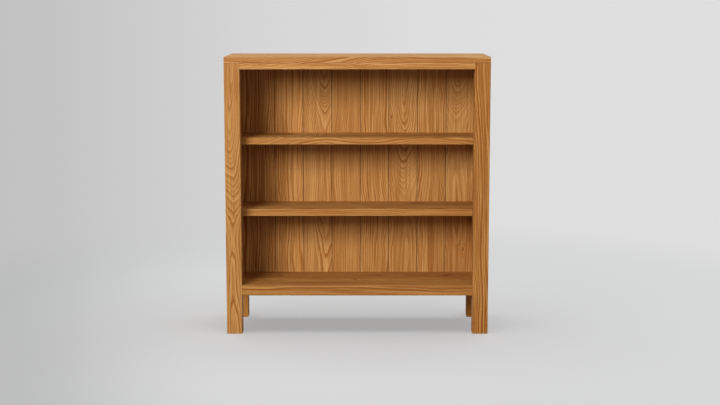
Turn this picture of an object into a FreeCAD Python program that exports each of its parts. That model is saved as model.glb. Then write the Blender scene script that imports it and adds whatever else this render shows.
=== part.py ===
import FreeCAD, Part
import os

# A low oak bookcase: four square posts, frame-and-panel sides, a back of tongued boards,
# a fixed top and bottom, and two loose shelves that rest on pins.
# Millimetres, +Z up, front towards -Y, origin on the floor under the middle of the case.

# Overall size
case_width = 850.0
case_depth = 300.0
case_height = 900.0

# Stock of the frame
post_side = 50.0
top_thickness = 20.0
front_rail_depth = 22.0
front_top_rail_height = 20.0
front_bottom_rail_height = 33.0
rear_rail_thickness = 22.0
rear_rail_height = 60.0
side_rail_thickness = 25.0
side_rail_height = 60.0
side_panel_thickness = 18.0
side_wall_setback = 20.0

# Boards and shelves
bottom_board_thickness = 20.0
bottom_board_top = 160.0
shelf_thickness = 22.0
lower_shelf_top = 403.0
upper_shelf_top = 637.0
back_board_thickness = 9.0
back_board_count = 8
first_board_share = 1.206

# Joints cut in the wood
side_tenon_length = 24.0
tenon_thickness_share = 0.34
tenon_shoulder_share = 0.18
panel_tongue_length = 8.0
panel_tongue_thickness = 8.0
bottom_tongue_length = 8.0
bottom_tongue_thickness = 7.0
bottom_housing_depth = 6.0
back_housing_depth = 5.0
board_tongue_length = 5.0
board_tongue_thickness = 3.0
board_bevel = 1.6
edge_bevel = 1.0

# Clearances
fit_clearance = 0.15
tongue_end_clearance = 1.0
board_gap = 0.5
board_side_clearance = 0.3
shelf_end_clearance = 1.0
shelf_front_clearance = 2.0
shelf_back_clearance = 1.0
shelf_seat_gap = 0.3

# Pins that carry the shelves
pin_shank_radius = 2.5
pin_shank_length = 10.0
pin_plate_length = 12.0
pin_plate_width = 9.0
pin_plate_thickness = 2.2
pin_corner_share = 0.25
pin_hole_pitch = 32.0
pin_holes_each_way = 1
pin_inset = 32.0

# Buttons that hold the top down along the sides
button_length = 22.0
button_width = 30.0
button_thickness = 16.0
button_tongue_length = 6.0
button_tongue_thickness = 6.0
button_place_shares = (0.2, 0.8)

# Dowels that place the top on the front posts
dowel_radius = 4.0
dowel_length = 34.0
dowel_top_share = 0.35

# Countersunk wood screws
screw_shank_radius = 2.0
screw_head_radius = 4.0
screw_head_height = 2.4
rail_screw_length = 34.0
rail_screw_shares = (0.15, 0.5, 0.85)
button_screw_length = 27.0

# How far a cutting tool runs past the face that it leaves
overrun = 3.0

# Two places nearer than this are the same place
same_place = 0.001

# Places worked out from the sizes
half_width = case_width / 2
front = -case_depth / 2
back = case_depth / 2
top_underside = case_height - top_thickness
post_inner = half_width - post_side
wall_inner = post_inner + side_wall_setback
rail_outer = wall_inner + side_rail_thickness
front_post_back = front + post_side
rear_post_front = back - post_side
low_rail_bottom = bottom_board_top - front_bottom_rail_height
front_rail_back = front + front_rail_depth
rear_rail_back = rear_post_front + rear_rail_thickness
bottom_board_underside = bottom_board_top - bottom_board_thickness
back_board_front = rear_post_front - back_board_thickness
long_tenon_length = side_wall_setback
shelf_front = front_post_back + shelf_front_clearance
shelf_back = back_board_front - shelf_back_clearance
bottom_groove_depth = bottom_tongue_length + tongue_end_clearance

# Both ends of the rails, the opening and the buttons on the axes that matter
front_rail_y = (front, front_rail_back)
rear_rail_y = (rear_post_front, rear_rail_back)
between_posts_y = (front_post_back, rear_post_front)
opening_x = (-post_inner, post_inner)
button_x = (wall_inner - button_length, wall_inner)
front_top_rail_z = (top_underside - front_top_rail_height, top_underside)
front_bottom_rail_z = (low_rail_bottom, bottom_board_top)
rear_top_rail_z = (top_underside - rear_rail_height, top_underside)
rear_bottom_rail_z = (low_rail_bottom, low_rail_bottom + rear_rail_height)
side_top_rail_z = (top_underside - side_rail_height, top_underside)
side_bottom_rail_z = (low_rail_bottom, low_rail_bottom + side_rail_height)
panel_field_z = (side_bottom_rail_z[1], side_top_rail_z[0])
button_z = (top_underside - button_thickness, top_underside)

# Ways that holes and pins point
UP = FreeCAD.Vector(0, 0, 1)
OUTWARD = FreeCAD.Vector(1, 0, 0)


def span(middle, size):
    """Both ends of a length that lies evenly about a middle."""
    return (middle - size / 2, middle + size / 2)


def widened(ends, amount):
    """A span with the same amount added at both ends."""
    return (ends[0] - amount, ends[1] + amount)


def block(x_ends, y_ends, z_ends):
    """A rectangular block between two places on each axis."""
    corner = FreeCAD.Vector(x_ends[0], y_ends[0], z_ends[0])
    return Part.makeBox(x_ends[1] - x_ends[0], y_ends[1] - y_ends[0], z_ends[1] - z_ends[0], corner)


def extruded(outline, z_ends):
    """An upright prism over an outline of (x, y) points."""
    points = [FreeCAD.Vector(x, y, z_ends[0]) for x, y in outline]
    wire = Part.makePolygon(points + points[:1])
    return Part.Face(wire).extrude(FreeCAD.Vector(0, 0, z_ends[1] - z_ends[0]))


def lies_at(edge, x=None, y=None, z=None):
    """Tells whether an edge lies wholly at the places that are given."""
    for vertex in edge.Vertexes:
        for wanted, found in ((x, vertex.X), (y, vertex.Y), (z, vertex.Z)):
            if wanted is not None and abs(wanted - found) > same_place:
                return False
    return True


def bevelled(solid, edges):
    """Takes the arris off the edges that are given."""
    return solid.makeChamfer(edge_bevel, edges)


def mirrored(solid):
    """The same piece for the other side of the case."""
    return solid.mirror(FreeCAD.Vector(0, 0, 0), FreeCAD.Vector(1, 0, 0))


def middle_of(ends):
    """The place halfway between two ends."""
    return (ends[0] + ends[1]) / 2


def shares_between(ends, shares):
    """Places between two ends, each given as a share of the way."""
    return [ends[0] + share * (ends[1] - ends[0]) for share in shares]


# Tenons and the mortises that take them
def tenon_spans(thickness_ends, height_ends):
    """A tenon's thickness and height, centred in the end of its rail."""
    thickness = (thickness_ends[1] - thickness_ends[0]) * tenon_thickness_share
    shoulder = (height_ends[1] - height_ends[0]) * tenon_shoulder_share
    return span(middle_of(thickness_ends), thickness), widened(height_ends, -shoulder)


def long_rail(y_ends, z_ends, bevel_y, bevel_heights):
    """A rail from post to post along the case, with a tenon at each end.

    Its exposed face is at bevel_y, and the arris is off that face at bevel_heights.
    """
    tenon_y, tenon_z = tenon_spans(y_ends, z_ends)
    bar = block((-post_inner, post_inner), y_ends, z_ends)
    exposed = [edge for edge in bar.Edges for z in bevel_heights if lies_at(edge, y=bevel_y, z=z)]
    bar = bevelled(bar, exposed)
    reach = post_inner + long_tenon_length
    return bar.fuse(block((-reach, reach), tenon_y, tenon_z)).removeSplitter()


def long_mortise(y_ends, z_ends):
    """The pocket in a right-hand post for the tenon of a long rail."""
    tenon_y, tenon_z = tenon_spans(y_ends, z_ends)
    x_ends = (post_inner - overrun, post_inner + long_tenon_length + fit_clearance)
    return block(x_ends, widened(tenon_y, fit_clearance), widened(tenon_z, fit_clearance))


def side_rail(z_ends, bevel_heights):
    """A rail of the right side, its outer arris off at bevel_heights."""
    x_ends = (wall_inner, rail_outer)
    tenon_x, tenon_z = tenon_spans(x_ends, z_ends)
    bar = block(x_ends, between_posts_y, z_ends)
    exposed = [edge for edge in bar.Edges for z in bevel_heights if lies_at(edge, x=rail_outer, z=z)]
    bar = bevelled(bar, exposed)
    tenon_y = widened(between_posts_y, side_tenon_length)
    return bar.fuse(block(tenon_x, tenon_y, tenon_z)).removeSplitter()


def side_mortises(z_ends):
    """The space that a side rail's two tenons need in the right-hand posts."""
    tenon_x, tenon_z = tenon_spans((wall_inner, rail_outer), z_ends)
    tenon_y = widened(between_posts_y, side_tenon_length + fit_clearance)
    return block(widened(tenon_x, fit_clearance), tenon_y, widened(tenon_z, fit_clearance))


# Screws, given by the place of the head's flat face
def screw(place, length):
    """A countersunk wood screw that is driven upwards."""
    head = Part.makeCone(screw_head_radius, screw_shank_radius, screw_head_height, place, UP)
    neck = place + UP * screw_head_height
    shank = Part.makeCylinder(screw_shank_radius, length - screw_head_height, neck, UP)
    return head.fuse(shank).removeSplitter()


def screw_hole(place, length):
    """The countersink and the drilled hole for a screw."""
    sink_radius = screw_head_radius + fit_clearance
    hole_radius = screw_shank_radius + fit_clearance
    sink = Part.makeCone(sink_radius, hole_radius, screw_head_height, place, UP)
    mouth = Part.makeCylinder(sink_radius, overrun, place - UP * overrun, UP)
    bore = Part.makeCylinder(hole_radius, length + fit_clearance, place, UP)
    return sink.fuse([mouth, bore])


button_y_middles = shares_between((front_post_back, back_board_front), button_place_shares)
rail_screw_places = [
    FreeCAD.Vector(x, middle_of(front_rail_y), front_top_rail_z[0])
    for x in shares_between(opening_x, rail_screw_shares)
]
button_screw_places = [
    FreeCAD.Vector(side * middle_of(button_x), y, button_z[0])
    for side in (-1, 1)
    for y in button_y_middles
]


def holed(solid, places, length):
    """A piece with the holes of one row of screws drilled in it."""
    return solid.cut([screw_hole(place, length) for place in places])


# Dowels between the front posts and the top, clear of the tenons in the post
dowel_x = middle_of((post_inner + long_tenon_length, half_width))
dowel_y = middle_of((front, front_post_back - side_tenon_length))
dowel_top = top_underside + dowel_length * dowel_top_share
dowel_places = [FreeCAD.Vector(side * dowel_x, dowel_y, 0) for side in (-1, 1)]


def dowel(place, clearance=0.0):
    """A dowel, or with a clearance the hole for it."""
    foot = place + UP * (dowel_top - dowel_length - clearance)
    return Part.makeCylinder(dowel_radius + clearance, dowel_length + 2 * clearance, foot, UP)


# Side panels with a tongue all round
panel_x = (wall_inner, wall_inner + side_panel_thickness)
panel_tongue_x = span(middle_of(panel_x), panel_tongue_thickness)


def panel_groove():
    """The groove round the opening of the right side, in its posts and rails."""
    depth = panel_tongue_length + tongue_end_clearance
    x_ends = widened(panel_tongue_x, fit_clearance)
    return block(x_ends, widened(between_posts_y, depth), widened(panel_field_z, depth))


def pin_places(shelf_top, turns=(0,)):
    """Centres of the pin holes of one shelf in the right side, on the wall's inner face."""
    height = shelf_top - shelf_thickness - shelf_seat_gap - pin_plate_thickness / 2
    return [
        FreeCAD.Vector(wall_inner, y, height + turn * pin_hole_pitch)
        for turn in turns
        for y in (shelf_front + pin_inset, shelf_back - pin_inset)
    ]


def side_panel():
    """The right side panel, with the rows of pin holes on its inner face."""
    field_y = widened(between_posts_y, -fit_clearance)
    field = block(panel_x, field_y, widened(panel_field_z, -fit_clearance))
    tongue_y = widened(between_posts_y, panel_tongue_length)
    tongue_z = widened(panel_field_z, panel_tongue_length)
    panel = field.fuse(block(panel_tongue_x, tongue_y, tongue_z)).removeSplitter()
    turns = range(-pin_holes_each_way, pin_holes_each_way + 1)
    places = pin_places(lower_shelf_top, turns) + pin_places(upper_shelf_top, turns)
    radius = pin_shank_radius + fit_clearance
    depth = pin_shank_length + fit_clearance
    mouths = [place - OUTWARD * overrun for place in places]
    return panel.cut([Part.makeCylinder(radius, depth + overrun, mouth, OUTWARD) for mouth in mouths])


# Posts
def post(y_ends):
    """A right-hand post before its joints are cut."""
    stick = block((post_inner, half_width), y_ends, (0, top_underside))
    return bevelled(stick, [edge for edge in stick.Edges if not lies_at(edge, z=top_underside)])


def front_post():
    """The right front post with its mortises, its groove and its dowel hole."""
    cuts = [
        long_mortise(front_rail_y, front_top_rail_z),
        long_mortise(front_rail_y, front_bottom_rail_z),
        side_mortises(side_top_rail_z),
        side_mortises(side_bottom_rail_z),
        panel_groove(),
        dowel(dowel_places[1], fit_clearance),
    ]
    return post((front, front_post_back)).cut(cuts)


def rear_post():
    """The right rear post with its mortises and its groove."""
    cuts = [
        long_mortise(rear_rail_y, rear_top_rail_z),
        long_mortise(rear_rail_y, rear_bottom_rail_z),
        side_mortises(side_top_rail_z),
        side_mortises(side_bottom_rail_z),
        panel_groove(),
    ]
    return post((rear_post_front, back)).cut(cuts)


# Rails along the sides
def button_slot():
    """The slot along a side top rail that takes the tongues of its buttons."""
    z_ends = (button_z[0], button_z[0] + button_tongue_thickness)
    x_ends = (wall_inner - overrun, wall_inner + button_tongue_length + fit_clearance)
    return block(x_ends, between_posts_y, widened(z_ends, fit_clearance))


def side_top_rail():
    """The right top rail of the side, grooved below and slotted inside."""
    return side_rail(side_top_rail_z, side_top_rail_z[:1]).cut([panel_groove(), button_slot()])


def side_bottom_rail():
    """The right bottom rail of the side, grooved above and housed for the bottom board."""
    x_ends = (wall_inner - overrun, wall_inner + bottom_housing_depth + fit_clearance)
    board_z = (bottom_board_underside, bottom_board_top)
    housing = block(x_ends, between_posts_y, widened(board_z, fit_clearance))
    return side_rail(side_bottom_rail_z, side_bottom_rail_z).cut([panel_groove(), housing])


# Rails along the front and the back
def front_top_rail():
    """The narrow rail under the front edge of the top."""
    rail = long_rail(front_rail_y, front_top_rail_z, front, front_top_rail_z[:1])
    return holed(rail, rail_screw_places, rail_screw_length)


bottom_tongue_z = span(middle_of((bottom_board_underside, bottom_board_top)), bottom_tongue_thickness)


def front_bottom_rail():
    """The rail that shows as the thick front edge of the bottom, grooved for the board."""
    rail = long_rail(front_rail_y, front_bottom_rail_z, front, front_bottom_rail_z)
    y_ends = (front_rail_back - bottom_groove_depth, front_rail_back + overrun)
    return rail.cut(block(opening_x, y_ends, widened(bottom_tongue_z, fit_clearance)))


def rear_top_rail():
    """The rail behind the head of the back boards."""
    return long_rail(rear_rail_y, rear_top_rail_z, rear_rail_back, rear_top_rail_z[:1])


def rear_bottom_rail():
    """The rail behind the foot of the back boards, grooved for the bottom board."""
    rail = long_rail(rear_rail_y, rear_bottom_rail_z, rear_rail_back, rear_bottom_rail_z)
    y_ends = (rear_post_front - overrun, rear_post_front + bottom_groove_depth)
    return rail.cut(block(opening_x, y_ends, widened(bottom_tongue_z, fit_clearance)))


# Housings for the ends of the back boards
def back_housing(z_ends):
    """The groove across the case that takes one end of the back boards."""
    y_ends = (back_board_front - fit_clearance, rear_post_front)
    return block((-wall_inner, wall_inner), y_ends, z_ends)


def top_board():
    """The top, over the ends of all four posts."""
    board = block((-half_width, half_width), (front, back), (top_underside, case_height))
    groove_z = (top_underside - overrun, top_underside + back_housing_depth)
    cuts = [back_housing(groove_z)] + [dowel(place, fit_clearance) for place in dowel_places]
    board = bevelled(board, [edge for edge in board.Edges if not lies_at(edge, z=top_underside)])
    board = board.cut(cuts)
    board = holed(board, rail_screw_places, rail_screw_length)
    return holed(board, button_screw_places, button_screw_length)


def bottom_board():
    """The bottom, notched round the front posts, tongued into both rails and housed in the sides."""
    notch_y = front_post_back + fit_clearance
    end = wall_inner + bottom_housing_depth
    neck = post_inner - fit_clearance
    outline = [
        (-neck, front_rail_back),
        (neck, front_rail_back),
        (neck, notch_y),
        (end, notch_y),
        (end, rear_post_front),
        (-end, rear_post_front),
        (-end, notch_y),
        (-neck, notch_y),
    ]
    board = extruded(outline, (bottom_board_underside, bottom_board_top))
    tongue_y = (front_rail_back - bottom_tongue_length, rear_post_front + bottom_tongue_length)
    board = board.fuse(block((-neck, neck), tongue_y, bottom_tongue_z))
    rebate_z = (bottom_board_top - back_housing_depth, bottom_board_top + overrun)
    return board.cut(back_housing(rebate_z)).removeSplitter()


def shelf(shelf_top):
    """A loose shelf with its sharp edges taken off."""
    end = wall_inner - shelf_end_clearance
    z_ends = (shelf_top - shelf_thickness, shelf_top)
    board = block((-end, end), (shelf_front, shelf_back), z_ends)
    return bevelled(board, board.Edges)


# Back boards: a tongue on the left edge, a groove on the right edge, a bevel at each joint
def board_outline(left, right, tongued, grooved):
    """The section of one back board, seen from above."""
    front_y = back_board_front
    rear_y = rear_post_front
    tongue_y = span(middle_of((front_y + board_bevel, rear_y)), board_tongue_thickness)
    groove_y = widened(tongue_y, fit_clearance)
    groove_x = right - board_tongue_length - tongue_end_clearance
    left_edge = [(left, front_y)]
    right_edge = [(right, front_y)]
    if tongued:
        left_edge = [
            (left, tongue_y[1]),
            (left - board_tongue_length, tongue_y[1]),
            (left - board_tongue_length, tongue_y[0]),
            (left, tongue_y[0]),
            (left, front_y + board_bevel),
            (left + board_bevel, front_y),
        ]
    if grooved:
        right_edge = [
            (right - board_bevel, front_y),
            (right, front_y + board_bevel),
            (right, groove_y[0]),
            (groove_x, groove_y[0]),
            (groove_x, groove_y[1]),
            (right, groove_y[1]),
        ]
    return left_edge + right_edge + [(right, rear_y), (left, rear_y)]


def back_boards():
    """The back boards from left to right; the first is wider than the others by its share."""
    far_right = wall_inner - board_side_clearance
    pitch = 2 * far_right / (back_board_count - 1 + first_board_share)
    z_ends = (
        bottom_board_top - back_housing_depth,
        top_underside + back_housing_depth - fit_clearance,
    )
    boards = []
    for number in range(back_board_count):
        first = number == 0
        last = number == back_board_count - 1
        right = far_right - (back_board_count - 1 - number) * pitch
        left = -far_right if first else right - pitch + board_gap
        outline = board_outline(left, right, tongued=not first, grooved=not last)
        boards.append(extruded(outline, z_ends))
    return boards


# Pins: a shank in the wall and a flat plate under the shelf
def pin(place):
    """One shelf pin for the right side."""
    shank = Part.makeCylinder(pin_shank_radius, pin_shank_length, place, OUTWARD)
    nose = place.x - pin_plate_length
    corner = pin_plate_width * pin_corner_share
    wide_y = span(place.y, pin_plate_width)
    narrow_y = widened(wide_y, -corner)
    outline = [
        (place.x, wide_y[0]),
        (place.x, wide_y[1]),
        (nose + corner, wide_y[1]),
        (nose, narrow_y[1]),
        (nose, narrow_y[0]),
        (nose + corner, wide_y[0]),
    ]
    return shank.fuse(extruded(outline, span(place.z, pin_plate_thickness))).removeSplitter()


def shelf_pins(shelf_top):
    """The four pins of one shelf."""
    right_pins = [pin(place) for place in pin_places(shelf_top)]
    return Part.Compound(right_pins + [mirrored(one) for one in right_pins])


# Buttons under the top
def button(y_middle):
    """A wooden button on the right side, its tongue in the rail's slot."""
    y_ends = span(y_middle, button_width)
    body = block(button_x, y_ends, button_z)
    tongue_z = (button_z[0], button_z[0] + button_tongue_thickness)
    tongue = block((button_x[0], wall_inner + button_tongue_length), y_ends, tongue_z)
    solid = body.fuse(tongue).removeSplitter()
    return holed(solid, button_screw_places, button_screw_length)


def top_buttons():
    """The buttons of both sides."""
    right_buttons = [button(y) for y in button_y_middles]
    return Part.Compound(right_buttons + [mirrored(one) for one in right_buttons])


# Every piece by its name
pieces = {
    "top_board": top_board(),
    "front_top_rail": front_top_rail(),
    "front_bottom_rail": front_bottom_rail(),
    "rear_top_rail": rear_top_rail(),
    "rear_bottom_rail": rear_bottom_rail(),
    "bottom_board": bottom_board(),
    "upper_shelf": shelf(upper_shelf_top),
    "lower_shelf": shelf(lower_shelf_top),
    "upper_shelf_pins": shelf_pins(upper_shelf_top),
    "lower_shelf_pins": shelf_pins(lower_shelf_top),
    "top_buttons": top_buttons(),
    "top_dowels": Part.Compound([dowel(place) for place in dowel_places]),
    "front_rail_screws": Part.Compound([screw(place, rail_screw_length) for place in rail_screw_places]),
    "button_screws": Part.Compound([screw(place, button_screw_length) for place in button_screw_places]),
}

sided_pieces = {
    "front_{}_post": front_post(),
    "rear_{}_post": rear_post(),
    "{}_top_rail": side_top_rail(),
    "{}_bottom_rail": side_bottom_rail(),
    "{}_side_panel": side_panel(),
}
for name, solid in sided_pieces.items():
    pieces[name.format("right")] = solid
    pieces[name.format("left")] = mirrored(solid)

for number, board in enumerate(back_boards(), start=1):
    pieces["back_board_{}".format(number)] = board

os.makedirs("parts", exist_ok=True)
for name, solid in pieces.items():
    solid.exportStep("parts/" + name + ".step")
    print(name, "solids:", len(solid.Solids), "volume:", round(solid.Volume), "valid:", solid.isValid())
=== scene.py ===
import math

import bmesh
import bpy
from mathutils import Matrix, Vector

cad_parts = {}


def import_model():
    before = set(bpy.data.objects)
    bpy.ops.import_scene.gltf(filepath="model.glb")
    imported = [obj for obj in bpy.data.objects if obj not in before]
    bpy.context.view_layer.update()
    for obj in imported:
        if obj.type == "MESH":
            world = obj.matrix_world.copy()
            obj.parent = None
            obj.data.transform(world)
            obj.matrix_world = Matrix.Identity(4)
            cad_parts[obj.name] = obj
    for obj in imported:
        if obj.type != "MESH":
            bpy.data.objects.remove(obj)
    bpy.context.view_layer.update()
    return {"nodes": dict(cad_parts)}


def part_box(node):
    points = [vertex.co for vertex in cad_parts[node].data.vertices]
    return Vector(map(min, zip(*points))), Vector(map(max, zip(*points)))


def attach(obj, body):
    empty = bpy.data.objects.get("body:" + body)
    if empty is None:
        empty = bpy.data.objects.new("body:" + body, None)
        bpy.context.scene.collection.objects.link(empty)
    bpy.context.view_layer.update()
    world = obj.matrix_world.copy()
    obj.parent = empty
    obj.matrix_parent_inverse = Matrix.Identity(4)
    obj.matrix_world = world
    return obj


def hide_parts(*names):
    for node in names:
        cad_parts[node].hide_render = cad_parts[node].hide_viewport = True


# A low oak bookcase in a pale studio. Metres, +Z up, front towards -Y.
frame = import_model()
nodes = frame["nodes"]

X_AXIS = Vector((1, 0, 0))
Y_AXIS = Vector((0, 1, 0))
Z_AXIS = Vector((0, 0, 1))

# Oak under a satin finish
PALE_OAK = (0.610, 0.324, 0.102, 1.0)
RING_OAK = (0.320, 0.107, 0.015, 1.0)
PORE_OAK = (0.170, 0.056, 0.010, 1.0)
# Pale late wood, and the lighter arrises, which are partly wear and partly a painted highlight
CREAM_OAK = (0.690, 0.400, 0.150, 1.0)
# Painted shade in the back's V grooves, and dirt with painted shade at the seams under the top
SHADE_AND_DIRT_OAK = (0.100, 0.036, 0.008, 1.0)
RING_WIDTH = 0.0045
STAVE_WIDTH = 0.0755
KNOT_SIZE = 0.0030
NO_KNOT = (9.0, 0.0, 0.0)
UNCHANGED_COLOUR = (1.0, 1.0, 1.0, 1.0)
ARRIS_WEAR_AND_HIGHLIGHT = 0.0028
GLUE_SHARE = 0.35
STAVE_SHADES = (0.93, 1.06)
STAVE_PITHS = (-0.05, 0.05)
WARM_GREEN = 0.07
WARM_BLUE = 0.16

# What lies over the plain wood, in order: the mask, its colour and the most that it covers
OVERLAYS = (
    ("Pores", PORE_OAK, 0.62),
    ("Rays", PORE_OAK, 0.16),
    ("Knot", PORE_OAK, 0.85),
    ("End Grain", RING_OAK, 0.45),
    # Lighter arrises: partly wear, partly a painted highlight along them
    ("Wear And Highlight", CREAM_OAK, 0.35),
    # Darker in the back's V grooves, painted shade, and at the seams under the top, dirt and painted
    # shade
    ("Shade And Dirt", SHADE_AND_DIRT_OAK, 0.76),
)

EARLY_SHARE = 0.92
LATE_SHARE = 0.45
DRIFT_SHARE = 0.30
STREAK_SHARE = 0.30
SATIN = 0.50

# Rounding of the sawn arrises
ARRIS_ROUNDING = 0.00035
ARRIS_STEPS = 2
BEVEL_ANGLES = (math.radians(30), math.radians(52))
SMOOTH_ANGLE = math.radians(32)
FLAT_ANGLE = math.radians(0.5)
WELD_DISTANCE = 1e-6


# Trees of nodes
def join(tree, value, socket):
    """Links a socket to an input, or sets the input to a plain value."""
    if isinstance(value, bpy.types.NodeSocket):
        tree.links.new(value, socket)
    else:
        socket.default_value = value


def put(tree, kind, given=(), family="ShaderNode", **settings):
    """Adds a node with its settings and what goes into its inputs."""
    made = tree.nodes.new(family + kind)
    for name, value in settings.items():
        setattr(made, name, value)
    for name, value in dict(given).items():
        join(tree, value, made.inputs[name])
    return made


def calc(tree, operation, *values):
    """A sum on numbers."""
    made = put(tree, "Math", operation=operation)
    for socket, value in zip(made.inputs, values):
        join(tree, value, socket)
    return made.outputs[0]


def times(tree, first, second):
    """One number times another."""
    return calc(tree, "MULTIPLY", first, second)


def times_plus(tree, first, second, more):
    """One number times another, and a third added."""
    return calc(tree, "MULTIPLY_ADD", first, second, more)


def plus(tree, first, second):
    """One number and another."""
    return calc(tree, "ADD", first, second)


def minus(tree, first, second):
    """One number less another."""
    return calc(tree, "SUBTRACT", first, second)


def calc_vector(tree, operation, *values):
    """A sum on vectors."""
    made = put(tree, "VectorMath", operation=operation)
    for socket, value in zip(made.inputs, values):
        join(tree, value, socket)
    return made.outputs["Value" if operation in ("LENGTH", "DOT_PRODUCT") else "Vector"]


def ease(tree, value, start, end, low=0.0, high=1.0):
    """A smooth step from low to high while the value goes from start to end."""
    given = {"Value": value, "From Min": start, "From Max": end, "To Min": low, "To Max": high}
    return put(tree, "MapRange", given, interpolation_type="SMOOTHSTEP").outputs["Result"]


def mixed(tree, share, first, second, blend="MIX"):
    """One colour laid over another by a share."""
    made = put(tree, "Mix", data_type="RGBA", blend_type=blend)
    join(tree, share, made.inputs["Factor"])
    join(tree, first, made.inputs[6])
    join(tree, second, made.inputs[7])
    return made.outputs[2]


def parts_of(tree, vector):
    """The three numbers of a vector."""
    return put(tree, "SeparateXYZ", {"Vector": vector}).outputs


def vector_of(tree, x, y, z):
    """A vector made of three numbers."""
    return put(tree, "CombineXYZ", {"X": x, "Y": y, "Z": z}).outputs[0]


def cloud(tree, place, detail):
    """Soft noise about a place."""
    return put(tree, "TexNoise", {"Vector": place, "Scale": 1.0, "Detail": detail}).outputs["Fac"]


def specks(tree, place, scales, detail=1.0):
    """Soft noise stretched along the axes."""
    return cloud(tree, calc_vector(tree, "MULTIPLY", place, scales), detail)


def sway(tree, length, detail=1.0):
    """Soft noise along a line."""
    given = {"W": length, "Scale": 1.0, "Detail": detail}
    return put(tree, "TexNoise", given, noise_dimensions="1D").outputs


def stretched(tree, place, scales, seed, turn):
    """A place with its axes scaled, moved to its own part of the noise."""
    scaled = calc_vector(tree, "MULTIPLY", place, scales)
    shift = times(tree, seed, turn)
    return calc_vector(tree, "ADD", scaled, vector_of(tree, shift, shift, shift))


def new_group(name, kind, inputs, outputs):
    """A node group with its named sockets. Gives the tree, what goes in and what comes out."""
    tree = bpy.data.node_groups.new(name, kind)
    for label, (socket_kind, value) in inputs.items():
        made = tree.interface.new_socket(label, in_out="INPUT", socket_type=socket_kind)
        if value is not None:
            made.default_value = value
    for label, socket_kind in outputs.items():
        tree.interface.new_socket(label, in_out="OUTPUT", socket_type=socket_kind)
    return tree, tree.nodes.new("NodeGroupInput").outputs, tree.nodes.new("NodeGroupOutput").inputs


NUMBER = "NodeSocketFloat"
VECTOR = "NodeSocketVector"
COLOUR = "NodeSocketColor"


# The figure of a sawn board: growth rings about a leaning pith, pores and rays
GRAIN_PARTS = ("Early Wood", "Late Wood", "Pores", "Rays", "Tone", "Streaks", "Knot")
RING_PARTS = (
    "Pith Across", "Pith Depth", "Lean", "Lean Place", "Lean Reach", "Peak", "Wander", "Waves",
    "Ring Width", "Seed",
)

# Noise: how fast it changes across the board, out of its face and along it, and its own turn
BROAD_NOISE = ((14, 14, 3.0), 5.1)
MIDDLING_NOISE = ((36, 36, 6.5), 3.3)
SMALL_NOISE = ((130, 130, 14), 9.7)
PORE_NOISE = ((1500, 1500, 75), 2.3)
TONE_NOISE = ((16, 16, 2.4), 7.7)
WIDE_STREAKS = ((95, 95, 3.4), 6.1)
THIN_STREAKS = ((300, 300, 8.0), 8.3)

# How far noise and a knot push the rings, in rings
BROAD_PUSH = 4.0
SMALL_PUSH = 0.3
YEAR_PUSH = 3.2
KNOT_PUSH = 1.4
KNOT_REACH = 4.5
KNOT_SHAPE = (1.0, 0.0, 0.32)
ARCH_TIP = 0.003

# Where early wood and late wood come in and go out in a year's growth
EARLY_COMES = (0.0, 0.10)
EARLY_GOES = 0.14
LATE_COMES = (0.60, 0.92)
LATE_GOES = (0.94, 1.0)
PORE_STEP = (0.53, 0.66)
RAY_STEP = (0.60, 0.72)


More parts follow.
